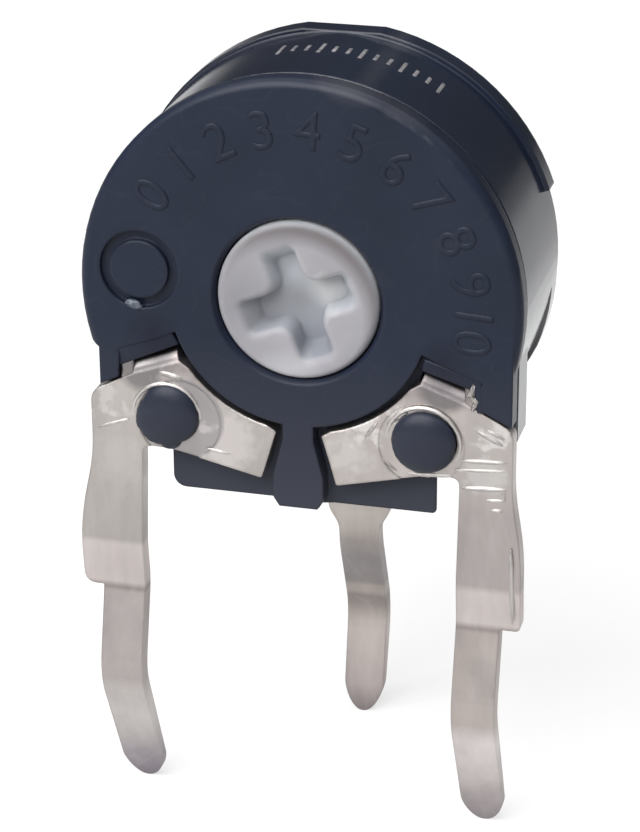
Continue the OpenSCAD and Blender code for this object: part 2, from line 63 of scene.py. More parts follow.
# where the dial face lies, where the rotor turns, and where the sheet and the legs' tips lie
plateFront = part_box("front_plate")[0].y
rotorLow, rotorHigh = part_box("rotor")
axisHeight = (rotorLow.z + rotorHigh.z) / 2
rotorRadius = 2.74 * mm
drumRadius = 7.45 * mm
sheetFront = plateFront + 0.1 * mm
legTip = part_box("terminal_left")[0].z


def newGroup(name, inputs, outputs):
    group = bpy.data.node_groups.new(name, "ShaderNodeTree")
    for label, kind, value in inputs:
        made = group.interface.new_socket(name=label, in_out="INPUT", socket_type=kind)
        made.default_value = value
    for label, kind in outputs:
        group.interface.new_socket(name=label, in_out="OUTPUT", socket_type=kind)
    start = group.nodes.new("NodeGroupInput")
    end = group.nodes.new("NodeGroupOutput")
    start.location = (-900, 0)
    end.location = (700, 0)
    return group, start, end


def put(tree, kind, x, y, **settings):
    made = tree.nodes.new(kind)
    made.location = (x, y)
    for key, value in settings.items():
        setattr(made, key, value)
    return made


def sums(tree, operation, a, b, x, y, clamp=False):
    made = put(tree, "ShaderNodeMath", x, y, operation=operation, use_clamp=clamp)
    for socket, value in zip(made.inputs, (a, b)):
        if isinstance(value, (int, float)):
            socket.default_value = value
        elif value is not None:
            tree.links.new(value, socket)
    return made.outputs[0]


def ramp(tree, source, stops, x, y):
    made = put(tree, "ShaderNodeValToRGB", x, y)
    band = made.color_ramp
    while len(band.elements) < len(stops):
        band.elements.new(0.5)
    for element, (position, colour) in zip(band.elements, stops):
        element.position = position
        element.color = (*colour, 1) if isinstance(colour, tuple) else (colour, colour, colour, 1)
    tree.links.new(source, made.inputs["Fac"])
    return made.outputs["Color"]


def buildWornEdges():
    # a mask along sharp edges, broken up by a noise
    group, start, end = newGroup("edgeWearAndGlint", [
        ("Width", "NodeSocketFloat", 0.0001), ("Gain", "NodeSocketFloat", 3.0),
        ("Patch Scale", "NodeSocketFloat", 900.0)],
        [("Mask", "NodeSocketFloat"), ("Normal", "NodeSocketVector")])
    rounded = put(group, "ShaderNodeBevel", -650, 100, samples=6)
    plain = put(group, "ShaderNodeNewGeometry", -650, -100)
    group.links.new(start.outputs["Width"], rounded.inputs["Radius"])
    dot = put(group, "ShaderNodeVectorMath", -450, 0, operation="DOT_PRODUCT")
    group.links.new(rounded.outputs["Normal"], dot.inputs[0])
    group.links.new(plain.outputs["Normal"], dot.inputs[1])
    away = sums(group, "SUBTRACT", 1.0, dot.outputs["Value"], -250, 0)
    strong = sums(group, "MULTIPLY", away, start.outputs["Gain"], -80, 0, clamp=True)
    where = put(group, "ShaderNodeTexCoord", -650, -350)
    patch = put(group, "ShaderNodeTexNoise", -450, -350)
    patch.inputs["Detail"].default_value = 4
    group.links.new(where.outputs["Object"], patch.inputs["Vector"])
    group.links.new(start.outputs["Patch Scale"], patch.inputs["Scale"])
    broken = ramp(group, patch.outputs["Fac"], [(0.35, 0.25), (0.6, 1.0)], -250, -350)
    mask = sums(group, "MULTIPLY", strong, broken, 200, -50)
    group.links.new(mask, end.inputs["Mask"])
    group.links.new(rounded.outputs["Normal"], end.inputs["Normal"])
    return group


def buildFineGrain():
    # a fine and a coarse noise, as a height and as a patchy value
    group, start, end = newGroup("fineGrain", [
        ("Fine Scale", "NodeSocketFloat", 9000.0), ("Coarse Scale", "NodeSocketFloat", 500.0),
        ("Stretch", "NodeSocketVector", (1.0, 1.0, 1.0))],
        [("Height", "NodeSocketFloat"), ("Patches", "NodeSocketFloat")])
    where = put(group, "ShaderNodeTexCoord", -750, 0)
    drawn = put(group, "ShaderNodeVectorMath", -550, 0, operation="MULTIPLY")
    group.links.new(where.outputs["Object"], drawn.inputs[0])
    group.links.new(start.outputs["Stretch"], drawn.inputs[1])
    fine = put(group, "ShaderNodeTexNoise", -300, 150)
    coarse = put(group, "ShaderNodeTexNoise", -300, -150)
    fine.inputs["Detail"].default_value = 3
    coarse.inputs["Detail"].default_value = 5
    coarse.inputs["Roughness"].default_value = 0.6
    for noise, label in ((fine, "Fine Scale"), (coarse, "Coarse Scale")):
        group.links.new(drawn.outputs["Vector"], noise.inputs["Vector"])
        group.links.new(start.outputs[label], noise.inputs["Scale"])
    group.links.new(fine.outputs["Fac"], end.inputs["Height"])
    group.links.new(coarse.outputs["Fac"], end.inputs["Patches"])
    return group


def buildLineMarks():
    # thin scratches: cells drawn out along one direction, kept only where they are narrow
    group, start, end = newGroup("lineMarks", [
        ("Scale", "NodeSocketFloat", 800.0), ("Turn", "NodeSocketVector", (0.0, 0.0, 0.0)),
        ("Stretch", "NodeSocketVector", (1.0, 1.0, 0.06)), ("Share", "NodeSocketFloat", 0.06)],
        [("Mask", "NodeSocketFloat")])
    where = put(group, "ShaderNodeTexCoord", -800, 0)
    turned = put(group, "ShaderNodeVectorRotate", -600, 0, rotation_type="EULER_XYZ")
    group.links.new(where.outputs["Object"], turned.inputs["Vector"])
    group.links.new(start.outputs["Turn"], turned.inputs["Rotation"])
    drawn = put(group, "ShaderNodeVectorMath", -400, 0, operation="MULTIPLY")
    group.links.new(turned.outputs["Vector"], drawn.inputs[0])
    group.links.new(start.outputs["Stretch"], drawn.inputs[1])
    cells = put(group, "ShaderNodeTexNoise", -200, 0)
    cells.inputs["Detail"].default_value = 1
    group.links.new(drawn.outputs["Vector"], cells.inputs["Vector"])
    group.links.new(start.outputs["Scale"], cells.inputs["Scale"])
    middle = sums(group, "SUBTRACT", cells.outputs["Fac"], 0.5, 0, 0)
    width = sums(group, "ABSOLUTE", middle, None, 150, 0)
    share = sums(group, "DIVIDE", width, start.outputs["Share"], 300, 0, clamp=True)
    mask = sums(group, "SUBTRACT", 1.0, share, 450, 0, clamp=True)
    group.links.new(mask, end.inputs["Mask"])
    return group


def buildRoundSpot():
    # a round patch about a line along Y, with a soft or broken rim
    group, start, end = newGroup("roundSpot", [
        ("Middle", "NodeSocketVector", (0.0, 0.0, 0.0)), ("Radius", "NodeSocketFloat", 0.001),
        ("Softness", "NodeSocketFloat", 0.0003), ("Broken", "NodeSocketFloat", 0.0),
        ("Patch Scale", "NodeSocketFloat", 2500.0)],
        [("Mask", "NodeSocketFloat")])
    where = put(group, "ShaderNodeTexCoord", -900, 150)
    away = put(group, "ShaderNodeVectorMath", -700, 150, operation="SUBTRACT")
    group.links.new(where.outputs["Object"], away.inputs[0])
    group.links.new(start.outputs["Middle"], away.inputs[1])
    flat = put(group, "ShaderNodeVectorMath", -520, 150, operation="MULTIPLY")
    flat.inputs[1].default_value = (1, 0, 1)
    group.links.new(away.outputs["Vector"], flat.inputs[0])
    far = put(group, "ShaderNodeVectorMath", -340, 150, operation="LENGTH")
    group.links.new(flat.outputs["Vector"], far.inputs[0])
    patch = put(group, "ShaderNodeTexNoise", -700, -150)
    patch.inputs["Detail"].default_value = 4
    group.links.new(where.outputs["Object"], patch.inputs["Vector"])
    group.links.new(start.outputs["Patch Scale"], patch.inputs["Scale"])
    wobble = sums(group, "MULTIPLY", sums(group, "SUBTRACT", patch.outputs["Fac"], 0.5, -500, -150),
                  start.outputs["Broken"], -340, -150)
    inside = sums(group, "SUBTRACT", start.outputs["Radius"], far.outputs["Value"], -150, 100)
    inside = sums(group, "DIVIDE", inside, start.outputs["Softness"], 30, 100)
    inside = sums(group, "ADD", inside, sums(group, "MULTIPLY", wobble, 8.0, -150, -150), 200, 50)
    mask = sums(group, "MULTIPLY", inside, 1.0, 380, 50, clamp=True)
    group.links.new(mask, end.inputs["Mask"])
    return group


edgeWearAndGlint = buildWornEdges()
fineGrain = buildFineGrain()
lineMarks = buildLineMarks()
roundSpot = buildRoundSpot()
print("shader groups built")


def newFinish(name):
    finish = bpy.data.materials.new(name)
    finish.use_nodes = True
    tree = finish.node_tree
    shader = tree.nodes["Principled BSDF"]
    shader.location = (500, 0)
    return finish, tree, shader


def useGroup(tree, group, x, y, **values):
    made = put(tree, "ShaderNodeGroup", x, y, node_tree=group)
    for label, value in values.items():
        made.inputs[label.replace("_", " ")].default_value = value
    return made


def mixColours(tree, a, b, factor, x, y, blend="MIX"):
    made = put(tree, "ShaderNodeMix", x, y, data_type="RGBA", blend_type=blend)
    if isinstance(factor, float):
        made.inputs["Factor"].default_value = factor
    else:
        tree.links.new(factor, made.inputs["Factor"])
    # this node's colour sockets come after those for numbers and vectors
    for socket, value in ((made.inputs[6], a), (made.inputs[7], b)):
        if isinstance(value, tuple):
            socket.default_value = (*value, 1)
        else:
            tree.links.new(value, socket)
    return made.outputs[2]


def spread(tree, source, low, high, toLow, toHigh, x, y):
    made = put(tree, "ShaderNodeMapRange", x, y)
    tree.links.new(source, made.inputs["Value"])
    for label, value in (("From Min", low), ("From Max", high), ("To Min", toLow), ("To Max", toHigh)):
        made.inputs[label].default_value = value
    return made.outputs["Result"]


def heightAlong(tree, axis, low, high, x, y):
    # 0 at low and 1 at high, along one of the object's axes
    where = put(tree, "ShaderNodeTexCoord", x, y)
    parts = put(tree, "ShaderNodeSeparateXYZ", x + 180, y)
    tree.links.new(where.outputs["Object"], parts.inputs["Vector"])
    return spread(tree, parts.outputs[axis], low, high, 0, 1, x + 360, y)


def spotMask(tree, across, up, radius, soft, broken, x, y):
    # a spot on the face: across and up from the axis, radius and softness in millimetres
    spot = useGroup(tree, roundSpot, x, y, Radius=radius * mm, Softness=soft * mm, Broken=broken,
                    Middle=(across * mm, 0.0, axisHeight + up * mm))
    return spot.outputs["Mask"]


def addSpots(tree, colour, look, x, y):
    # each spot: across, up, radius, softness, how broken its rim is, tint, share of the tint
    for number, (across, up, radius, soft, broken, tint, share) in enumerate(look.get("spots", ())):
        level = y - 260 * number
        mask = spotMask(tree, across, up, radius, soft, broken, x, level)
        covered = sums(tree, "MULTIPLY", mask, share, x + 180, level)
        colour = mixColours(tree, colour, tint, covered, x + 360, level)
    return colour


def addRims(tree, colour, look, x, y):
    # painted shade outside rounds that sit off the middle, so the rim is darker towards the upper right:
    # across, up, radius, softness, tint
    for number, (across, up, radius, soft, tint) in enumerate(look.get("rims", ())):
        level = y - 260 * number
        inside = spotMask(tree, across, up, radius, soft, 0.0, x, level)
        outside = sums(tree, "SUBTRACT", 1.0, inside, x + 200, level, clamp=True)
        colour = mixColours(tree, colour, tint, outside, x + 400, level)
    return colour


def addDepthTint(tree, colour, look, x, y):
    # painted shade in the slot, growing with its depth from the dial face, and painted lighter at the top
    # than at the bottom
    if "slotShade" not in look:
        return colour
    tintTo, reach, paintedLowerShade, paintedUpperLight = look["slotShade"]
    depth = heightAlong(tree, "Y", plateFront, plateFront + tintTo, x - 800, y)
    rise = heightAlong(tree, "Z", axisHeight - reach, axisHeight + reach, x - 800, y + 200)
    tint = mixColours(tree, paintedLowerShade, paintedUpperLight, rise, x - 200, y + 200)
    return mixColours(tree, colour, tint, depth, x, y)


def addShoulder(tree, colour, look, x, y):
    # a painted reflection, pale on the shoulder of the lip: across, up, radius, softness, depth behind the
    # face, tint
    if "shoulder" not in look:
        return colour
    across, up, radius, soft, depth, tint = look["shoulder"]
    mask = spotMask(tree, across, up, radius, soft, 0.0, x, y)
    behind = heightAlong(tree, "Y", plateFront + (depth - 0.05) * mm, plateFront + (depth - 0.02) * mm,
                         x - 600, y - 200)
    # what faces straight back keeps its colour
    where = put(tree, "ShaderNodeTexCoord", x - 600, y + 200)
    parts = put(tree, "ShaderNodeSeparateXYZ", x - 400, y + 200)
    tree.links.new(where.outputs["Normal"], parts.inputs["Vector"])
    sideways = sums(tree, "SUBTRACT", 1.0, parts.outputs["Y"], x - 200, y + 200, clamp=True)
    behind = sums(tree, "MULTIPLY", behind, sideways, x + 100, y + 100)
    return mixColours(tree, colour, tint, sums(tree, "MULTIPLY", mask, behind, x + 250, y), x + 400, y)


def addDust(tree, colour, look, x, y):
    # the lower part of the body is a little greyer
    if "paleBelow" not in look:
        return colour
    low = heightAlong(tree, "Z", axisHeight - 1.5 * mm, axisHeight - 7.5 * mm, x - 800, y)
    return mixColours(tree, colour, look["paleBelow"], low, x, y)


def addBump(tree, shader, height, normal, strength, distance):
    bump = put(tree, "ShaderNodeBump", 300, -300)
    bump.inputs["Strength"].default_value = strength
    bump.inputs["Distance"].default_value = distance
    tree.links.new(height, bump.inputs["Height"])
    tree.links.new(normal, bump.inputs["Normal"])
    tree.links.new(bump.outputs["Normal"], shader.inputs["Normal"])


def mouldedPlastic(name, look):
    finish, tree, shader = newFinish(name)
    grain = useGroup(tree, fineGrain, -700, 0, Fine_Scale=look["grain"], Coarse_Scale=look["patches"])
    worn = useGroup(tree, edgeWearAndGlint, -700, -300, Width=look["edge"], Gain=look["edgeGain"])
    lines = useGroup(tree, lineMarks, -700, -600, Scale=look["scratches"], Share=0.012,
                     Turn=(0.3, 0.2, 0.5), Stretch=(0.03, 1.0, 1.0))
    colour = ramp(tree, grain.outputs["Patches"], [(0.3, look["dark"]), (0.7, look["colour"])], -450, 150)
    scuffs = sums(tree, "MULTIPLY", lines.outputs["Mask"], look["scratchiness"], -300, -600)
    colour = mixColours(tree, colour, look["worn"], scuffs, -150, 100)
    edgeWearAndGlintShare = sums(tree, "MULTIPLY", worn.outputs["Mask"], look["edgeShow"], -300, -300)
    colour = mixColours(tree, colour, look["worn"], edgeWearAndGlintShare, 50, 100)
    colour = addRims(tree, colour, look, -700, 700)
    colour = addDepthTint(tree, colour, look, 230, 200)
    colour = addShoulder(tree, colour, look, -300, 1000)
    colour = addSpots(tree, colour, look, -300, 1600)
    colour = addDust(tree, colour, look, 330, 300)
    tree.links.new(colour, shader.inputs["Base Color"])
    rough = spread(tree, grain.outputs["Patches"], 0.3, 0.7, look["roughness"] - 0.04,
                   look["roughness"] + 0.04, -100, -150)
    tree.links.new(rough, shader.inputs["Roughness"])
    addBump(tree, shader, grain.outputs["Height"], worn.outputs["Normal"], look["bump"], 0.02 * mm)
    shader.inputs["Specular IOR Level"].default_value = look["gloss"]
    if "glow" in look:
        shader.inputs["Subsurface Weight"].default_value = look["glow"]
        shader.inputs["Subsurface Radius"].default_value = (1.0, 0.9, 0.85)
        shader.inputs["Subsurface Scale"].default_value = 0.9 * mm
    return finish


def rolledMetal(name, look):
    # stamped, tinned sheet: drawn streaks, mottling, pits, scratches, and painted light and shade in bands
    # along the leg
    finish, tree, shader = newFinish(name)
    grain = useGroup(tree, fineGrain, -900, 0, Fine_Scale=look["streaks"], Coarse_Scale=look["mottles"],
                     Stretch=(1.0, 1.0, 0.12))
    clouds = useGroup(tree, fineGrain, -900, -250, Fine_Scale=3000.0, Coarse_Scale=look["clouds"])
    worn = useGroup(tree, edgeWearAndGlint, -900, -500, Width=0.00013, Gain=2.5, Patch_Scale=1400.0)
    lines = useGroup(tree, lineMarks, -900, -750, Scale=look["scratches"], Share=0.03,
                     Turn=look["scratchTurn"], Stretch=(1.0, 1.0, 0.03))
    tones = [(0.28, look["dark"]), (0.5, look["colour"]), (0.72, look["light"])]
    colour = ramp(tree, grain.outputs["Patches"], tones, -650, 100)
    cloudy = ramp(tree, clouds.outputs["Patches"], [(0.45, 0.0), (0.7, look["cloudiness"])], -650, -200)
    colour = mixColours(tree, colour, look["dark"], cloudy, -400, 50)
    # painted light and shade in bands by height, lighter where a bend faces the light and darker where it
    # turns away
    height = heightAlong(tree, "Z", legTip, axisHeight, -1300, 400)
    paintedShadingBands = [((up * mm - legTip) / (axisHeight - legTip), tone) for up, tone in look["paintedShadingBands"]]
    colour = mixColours(tree, colour, ramp(tree, height, paintedShadingBands, -650, 400), 1.0, -200, 100, "MULTIPLY")
    scratched = sums(tree, "MULTIPLY", lines.outputs["Mask"], look["scratchiness"], -600, -750)
    colour = mixColours(tree, colour, look["light"], scratched, 0, 100)
    # edges lightened in the tin's light tone: partly wear, partly a painted highlight along them
    edgeWearAndGlintShare = sums(tree, "MULTIPLY", worn.outputs["Mask"], look["edgeShow"], -600, -500)
    colour = mixColours(tree, colour, look["light"], edgeWearAndGlintShare, 180, 100)
    colour = addSpots(tree, colour, look, -300, 900)
    tree.links.new(colour, shader.inputs["Base Color"])
    rough = spread(tree, clouds.outputs["Patches"], 0.3, 0.7, look["roughness"] - 0.08,
                   look["roughness"] + 0.1, 100, -150)
    tree.links.new(rough, shader.inputs["Roughness"])
    shader.inputs["Metallic"].default_value = look["metallic"]
    relief = sums(tree, "ADD", grain.outputs["Height"], grain.outputs["Patches"], 0, -400)
    addBump(tree, shader, relief, worn.outputs["Normal"], look["bump"], 0.03 * mm)
    return finish


facePlastic = mouldedPlastic("faceNavyPlastic", {
    "colour": (0.0145, 0.0195, 0.037), "dark": (0.010, 0.0145, 0.028), "worn": (0.08, 0.08, 0.10),
    "paleBelow": (0.034, 0.037, 0.052),
    "spots": [
        # painted shade on the lips over the two tabs, then a painted highlight along the rim above the dial
        (-5.0, -1.6, 1.0, 0.9, 0.1, (0.007, 0.009, 0.02), 0.8),
        (4.9, -1.7, 1.0, 0.9, 0.1, (0.007, 0.009, 0.02), 0.8),
        (2.1, 9.0, 2.3, 0.8, 0.05, (0.085, 0.085, 0.098), 0.6),
        (4.2, 8.3, 2.2, 0.8, 0.05, (0.055, 0.056, 0.066), 0.6),
    ],
    "grain": 7000.0, "patches": 260.0, "scratches": 900.0, "scratchiness": 0.05,
    "edge": 0.00014, "edgeGain": 2.0, "edgeShow": 0.25, "roughness": 0.36, "bump": 0.16, "gloss": 0.22,
})
drumPlastic = mouldedPlastic("drumNavyPlastic", {
    "colour": (0.015, 0.021, 0.040), "dark": (0.010, 0.015, 0.030), "worn": (0.09, 0.09, 0.11),
    "paleBelow": (0.05, 0.05, 0.065),
    "spots": [
        # painted shade on the top at the left, then a painted highlight and a small painted glint on the
        # torn corner where the lip's flat ends
        (-3.4, 6.9, 4.6, 2.0, 0.0, (0.007, 0.010, 0.022), 0.7),
        (2.0, 7.3, 0.5, 0.5, 0.1, (0.042, 0.046, 0.058), 0.6),
        (2.25, 7.55, 0.2, 0.15, 0.3, (0.40, 0.40, 0.42), 0.8),
    ],
    # a painted reflection, pale, low on the right of the drum
    "shoulder": (7.1, -2.6, 2.4, 1.2, 5.9, (0.22, 0.215, 0.23)),
    "grain": 6000.0, "patches": 220.0, "scratches": 900.0, "scratchiness": 0.05,
    "edge": 0.00012, "edgeGain": 2.0, "edgeShow": 0.3, "roughness": 0.17, "bump": 0.06, "gloss": 0.55,
})
rotorNylon = mouldedPlastic("rotorNylon", {
    "colour": (0.35, 0.34, 0.365), "dark": (0.31, 0.305, 0.325), "worn": (0.42, 0.41, 0.43),
    # painted shade in the slot: the depth at which it is full, its reach up and down, its darker lower and
    # its paler upper tone
    "slotShade": (0.17 * mm, 1.6 * mm, (0.22, 0.23, 0.26), (0.49, 0.51, 0.54)),
    "spots": [
        # a painted highlight on the slot's right arm, painted shade in its middle, darker on the left side,
        # painted light on the slot's left arm and on the lower rim
        (0.80, 0.30, 0.85, 0.6, 0.1, (0.55, 0.55, 0.55), 0.8),
        (-0.1, -0.2, 0.85, 0.7, 0.0, (0.22, 0.225, 0.24), 0.7),
        (-2.6, -0.2, 2.4, 2.0, 0.0, (0.255, 0.25, 0.27), 0.85),
        (-1.5, -0.3, 0.55, 0.4, 0.0, (0.33, 0.34, 0.37), 0.7),
        (-0.3, -3.1, 1.5, 1.0, 0.0, (0.47, 0.465, 0.48), 0.85),
    ],
    # painted shade on the rim towards the upper right
    "rims": [
        (-0.15, -0.45, 2.87, 0.5, (0.17, 0.158, 0.165)),
        (-0.15, -0.45, 3.2, 0.3, (0.12, 0.112, 0.118)),
    ],
    "grain": 5000.0, "patches": 380.0, "scratches": 1200.0, "scratchiness": 0.08,
    "edge": 0.00015, "edgeGain": 2.0, "edgeShow": 0.3, "roughness": 0.46, "bump": 0.10, "gloss": 0.3,
    "glow": 0.6,
})
boardPaper = mouldedPlastic("boardLaminate", {
    "colour": (0.16, 0.085, 0.04), "dark": (0.10, 0.05, 0.022), "worn": (0.25, 0.16, 0.09),
    "grain": 4000.0, "patches": 900.0, "scratches": 500.0, "scratchiness": 0.2,
    "edge": 0.00008, "edgeGain": 2.0, "edgeShow": 0.4, "roughness": 0.6, "bump": 0.3, "gloss": 0.4,
})
carbonInk = mouldedPlastic("carbonInk", {
    "colour": (0.018, 0.018, 0.020), "dark": (0.010, 0.010, 0.011), "worn": (0.06, 0.06, 0.06),
    "grain": 12000.0, "patches": 1200.0, "scratches": 900.0, "scratchiness": 0.3,
    "edge": 0.00003, "edgeGain": 2.0, "edgeShow": 0.2, "roughness": 0.7, "bump": 0.4, "gloss": 0.3,
})
palePrint = mouldedPlastic("palePrint", {
    "colour": (0.30, 0.29, 0.30), "dark": (0.10, 0.10, 0.11), "worn": (0.03, 0.03, 0.04),
    "grain": 9000.0, "patches": 2600.0, "scratches": 900.0, "scratchiness": 0.5,
    "edge": 0.00003, "edgeGain": 2.0, "edgeShow": 0.2, "roughness": 0.6, "bump": 0.2, "gloss": 0.3,
})
# the cut gate, much paler than the face: partly its own cut surface, partly a painted highlight
cutGateAndGlint = mouldedPlastic("cutGatePlasticAndPaintedGlint", {
    "colour": (0.12, 0.14, 0.18), "dark": (0.03, 0.04, 0.06), "worn": (0.35, 0.37, 0.42),
    "grain": 9000.0, "patches": 3000.0, "scratches": 900.0, "scratchiness": 0.5,
    "edge": 0.00006, "edgeGain": 3.0, "edgeShow": 0.6, "roughness": 0.35, "bump": 0.4, "gloss": 0.5,
})

# painted light and shade where the legs and tabs bend, in bands: height above the board in millimetres and
# the tone that multiplies the tin there
terminalLook = {
    "colour": (0.53, 0.495, 0.475), "light": (0.60, 0.565, 0.545), "dark": (0.46, 0.43, 0.415),
    "streaks": 5200.0, "mottles": 900.0, "clouds": 420.0, "cloudiness": 0.35, "scratches": 900.0,
    "scratchTurn": (0.0, 0.35, 0.0), "scratchiness": 0.12, "edgeShow": 0.6, "metallic": 1.0,
    "roughness": 0.42, "bump": 0.12, "paintedShadingBands": [(0.0, 1.0), (11.0, 1.0)],
}
leftSheet = rolledMetal("leftTerminalTin", dict(
    terminalLook, cloudiness=0.4, scratchTurn=(0.0, -0.6, 0.0),
    paintedShadingBands=[
        (-8.6, (0.50, 0.47, 0.56)), (-7.3, (0.71, 0.69, 0.77)), (-6.4, (0.95, 0.94, 0.96)),
        (-5.2, (1.12, 1.12, 1.14)), (-3.8, (1.10, 1.10, 1.11)), (-3.3, (0.95, 0.92, 0.93)),
        (-0.2, (0.95, 0.92, 0.93)), (-0.05, (0.64, 0.60, 0.60)), (0.15, (1.18, 1.15, 1.15)),
        (1.65, (1.22, 1.19, 1.19)), (1.85, (0.90, 0.89, 0.88)), (4.6, (0.95, 0.94, 0.93)),
        (7.6, (1.0, 0.99, 0.98)), (8.0, (0.80, 0.77, 0.78)), (9.4, (0.66, 0.62, 0.64)),
    ],
    spots=[
        # painted shade on the tab and on its fold, two rubbed patches, the press mark round the peg, two
        # patches on the ear, one on the arm and one above the leg
        (-5.35, -2.8, 1.12, 0.35, 0.1, (0.245, 0.23, 0.232), 0.9),
        (-5.1, -1.6, 1.2, 0.25, 0.1, (0.115, 0.107, 0.11), 0.9),
        (-2.6, -5.3, 1.3, 0.6, 0.3, (0.68, 0.635, 0.62), 0.8),
        (-4.3, -3.4, 0.8, 0.5, 0.3, (0.62, 0.58, 0.565), 0.6),
        (-4.05, -4.62, 1.50, 0.10, 0.05, (0.35, 0.33, 0.338), 0.75),
        (-6.75, -4.10, 0.55, 0.45, 0.9, (0.72, 0.69, 0.67), 0.55),
        (-6.15, -4.5, 0.35, 0.4, 0.9, (0.72, 0.69, 0.67), 0.5),
        (-3.1, -4.9, 0.3, 0.3, 0.8, (0.74, 0.70, 0.69), 0.5),
        (-6.3, -6.3, 1.2, 0.8, 0.3, (0.60, 0.57, 0.55), 0.5),
    ]))
rightSheet = rolledMetal("rightTerminalTin", dict(
    terminalLook,
    paintedShadingBands=[
        (-8.6, (0.58, 0.55, 0.60)), (-7.2, (0.80, 0.77, 0.80)), (-6.3, (1.05, 1.03, 1.05)),
        (-5.5, (1.15, 1.14, 1.16)), (-4.9, (1.22, 1.21, 1.23)), (-4.35, (1.34, 1.33, 1.36)),
        (-3.9, (1.16, 1.14, 1.15)), (-3.5, (0.96, 0.92, 0.91)), (-0.2, (0.92, 0.88, 0.87)),
        (-0.05, (0.66, 0.62, 0.62)), (0.15, (1.2, 1.17, 1.17)), (1.35, (1.23, 1.2, 1.2)),
        (1.6, (0.88, 0.85, 0.86)), (4.2, (0.90, 0.87, 0.88)), (4.8, (0.98, 0.96, 0.95)),
        (7.7, (1.05, 1.03, 1.02)), (8.2, (0.76, 0.72, 0.74)), (9.4, (0.66, 0.62, 0.64)),
    ],
    spots=[
        # painted shade on the tab and on its fold, two patches on the ear, three on the arm, two pits in the
        # tab, and the patch with the press lines
        (4.95, -2.6, 1.0, 0.35, 0.1, (0.21, 0.195, 0.2), 0.85),
        (5.1, -1.7, 1.15, 0.25, 0.1, (0.12, 0.11, 0.113), 0.85),
        (6.4, -4.3, 1.0, 0.8, 0.4, (0.54, 0.51, 0.49), 0.6),
        (6.55, -4.15, 0.55, 0.4, 0.9, (0.80, 0.77, 0.75), 0.7),
        (2.45, -4.3, 0.55, 0.45, 0.9, (0.82, 0.79, 0.77), 0.7),
        (1.75, -5.3, 0.9, 0.6, 0.4, (0.70, 0.67, 0.65), 0.6),
        (3.35, -3.8, 0.35, 0.35, 0.8, (0.84, 0.81, 0.79), 0.7),
        (4.03, -2.52, 0.08, 0.08, 0.2, (0.25, 0.23, 0.23), 0.7),
        (4.64, -2.71, 0.07, 0.07, 0.2, (0.25, 0.23, 0.23), 0.7),
        (6.35, -5.55, 0.75, 0.3, 0.5, (0.66, 0.64, 0.62), 0.6),
    ]))
wiperSheet = rolledMetal("wiperTerminalTin", dict(
    terminalLook, roughness=0.45,
    paintedShadingBands=[
        (-8.6, (0.50, 0.46, 0.48)), (-7.6, (0.98, 0.93, 0.94)), (-6.2, (1.16, 1.10, 1.09)),
        (-5.5, (1.22, 1.17, 1.15)), (-5.15, (1.10, 1.05, 1.03)), (-4.65, (0.82, 0.78, 0.76)),
        (-4.35, (0.66, 0.63, 0.62)), (-4.0, (0.64, 0.61, 0.60)), (-3.75, (0.92, 0.88, 0.86)),
        (-3.45, (0.90, 0.86, 0.84)), (-3.25, (0.65, 0.65, 0.66)), (-2.0, (0.62, 0.62, 0.64)),
        (-1.2, (0.73, 0.71, 0.70)), (-0.7, (0.95, 0.93, 0.91)), (0.0, (1.12, 1.10, 1.07)),
        (2.0, (1.0, 1.0, 1.0)),
    ]))
springBronze = rolledMetal("springBronze", dict(
    terminalLook, colour=(0.62, 0.47, 0.27), light=(0.78, 0.62, 0.40), dark=(0.42, 0.30, 0.16),
    roughness=0.3))
silverInk = rolledMetal("silverInk", dict(
    terminalLook, colour=(0.60, 0.60, 0.61), light=(0.74, 0.74, 0.75), dark=(0.42, 0.42, 0.43),
    roughness=0.5, metallic=0.8))

# rubbed spots of the same tin, brighter than the sheet round them
brightLook = dict(terminalLook, colour=(0.66, 0.63, 0.61), light=(0.74, 0.71, 0.69),
                  dark=(0.56, 0.53, 0.51), cloudiness=0.3, roughness=0.45)
leftBright = rolledMetal("leftRubbedTin", brightLook)
rightBright = rolledMetal("rightRubbedTin", brightLook)

wearing = {
    "front_plate": facePlastic, "rear_cup": drumPlastic, "rotor": rotorNylon,
    "wiper_contact": springBronze, "track_board": boardPaper, "carbon_track": carbonInk,
    "pad_left": silverInk, "pad_right": silverInk, "wiper_terminal": wiperSheet,
    "terminal_left": leftSheet, "terminal_right": rightSheet,
}
for name, finish in wearing.items():
    for holder in nodes[name].material_slots:
        holder.material = finish
print("finishes on the solids")


def clearSelection():
    for other in bpy.context.view_layer.objects:
        other.select_set(False)
    bpy.context.view_layer.objects.active = None


def pickOnly(*chosen):
    clearSelection()
    for piece in chosen:
        piece.select_set(True)
    bpy.context.view_layer.objects.active = chosen[0]


def startEdit():
    # all of the active piece is picked
    bpy.ops.object.mode_set(mode="EDIT")
    bpy.ops.mesh.select_all(action="SELECT")


def endEdit():
    bpy.ops.object.mode_set(mode="OBJECT")


def settle(piece, name, finish, body, smooth=30):
    # where the piece stands goes into its mesh, and it rides on its body
    pickOnly(piece)
    bpy.ops.object.transform_apply(location=True, rotation=True, scale=True)
    bpy.ops.object.shade_smooth_by_angle(angle=math.radians(smooth))
    piece.name = name
    piece.data.name = name
    piece.data.materials.clear()
    piece.data.materials.append(finish)
    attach(piece, body)
    return piece


def joinAll(pieces):
    pickOnly(*pieces)
    if len(pieces) > 1:
        bpy.ops.object.join()
    return bpy.context.view_layer.objects.active


def turnBy(degrees, axis):
    return Matrix.Rotation(math.radians(degrees), 4, axis)


def aroundAxis(angle, radius, y, tilt):
    # a place round the rotor's axis, by its angle clockwise from the top; tilt sets its own Z
    return (Matrix.Translation((0, y, axisHeight)) @ turnBy(angle, "Y")
            @ Matrix.Translation((0, 0, radius)) @ tilt)


